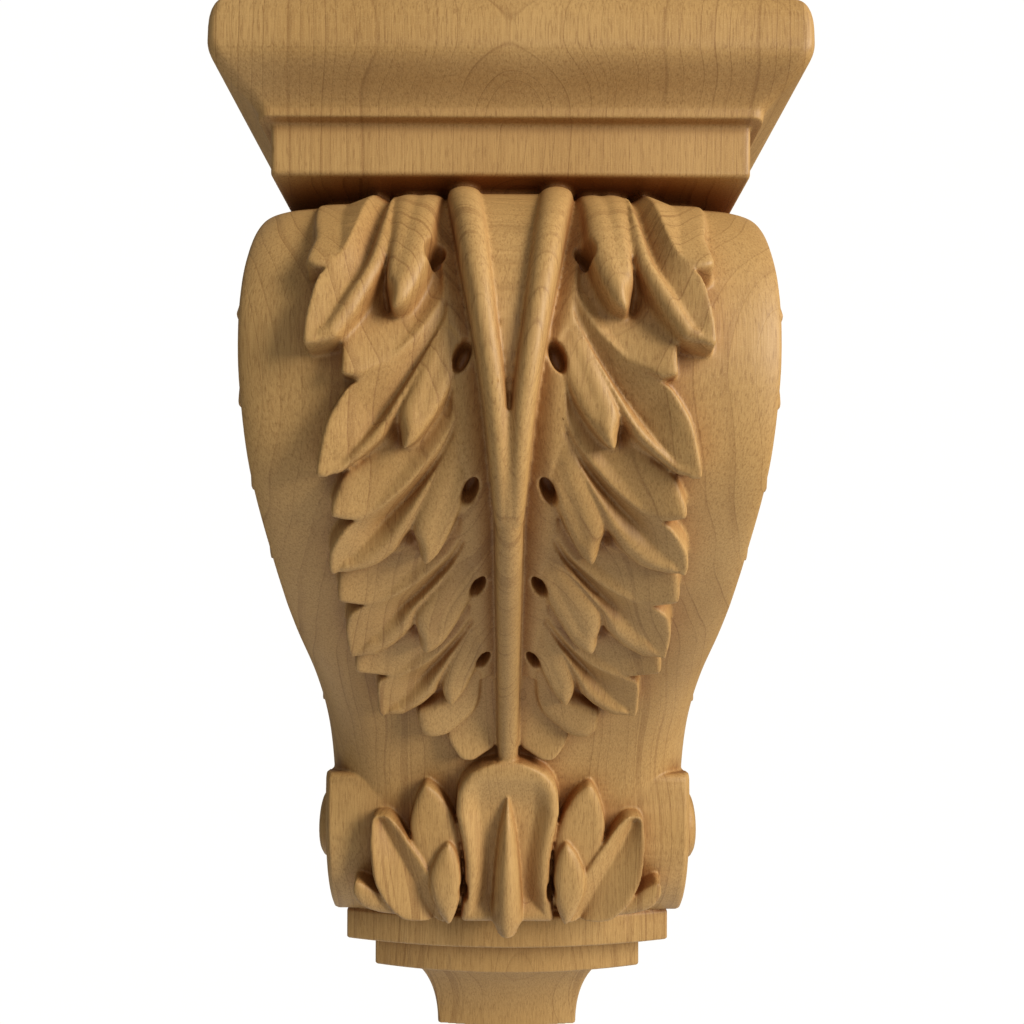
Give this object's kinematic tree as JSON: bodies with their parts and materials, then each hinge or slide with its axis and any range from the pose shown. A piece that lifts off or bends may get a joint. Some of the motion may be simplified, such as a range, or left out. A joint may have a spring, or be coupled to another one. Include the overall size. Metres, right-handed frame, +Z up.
{
  "type": "wooden corbel bracket",
  "caption": "Carved wooden wall corbel with a moulded cap, a scrolled body with an acanthus leaf, a stepped base and a coved tail; carries a shelf or mantel.",
  "frame": {"origin": "middle of the flat back face, half way up and on the centre line", "axes": "+Z up, +Y out of the back into the wall, the carved front looks along -Y, +X to the right seen from the front"},
  "size_m": [0.126, 0.1485, 0.272],
  "materials": {
    "wood": "fine-sanded bare hardwood with a satin surface"
  },
  "bodies": {
    "root": {"corbel": "wood"}
  },
  "joints": []
}
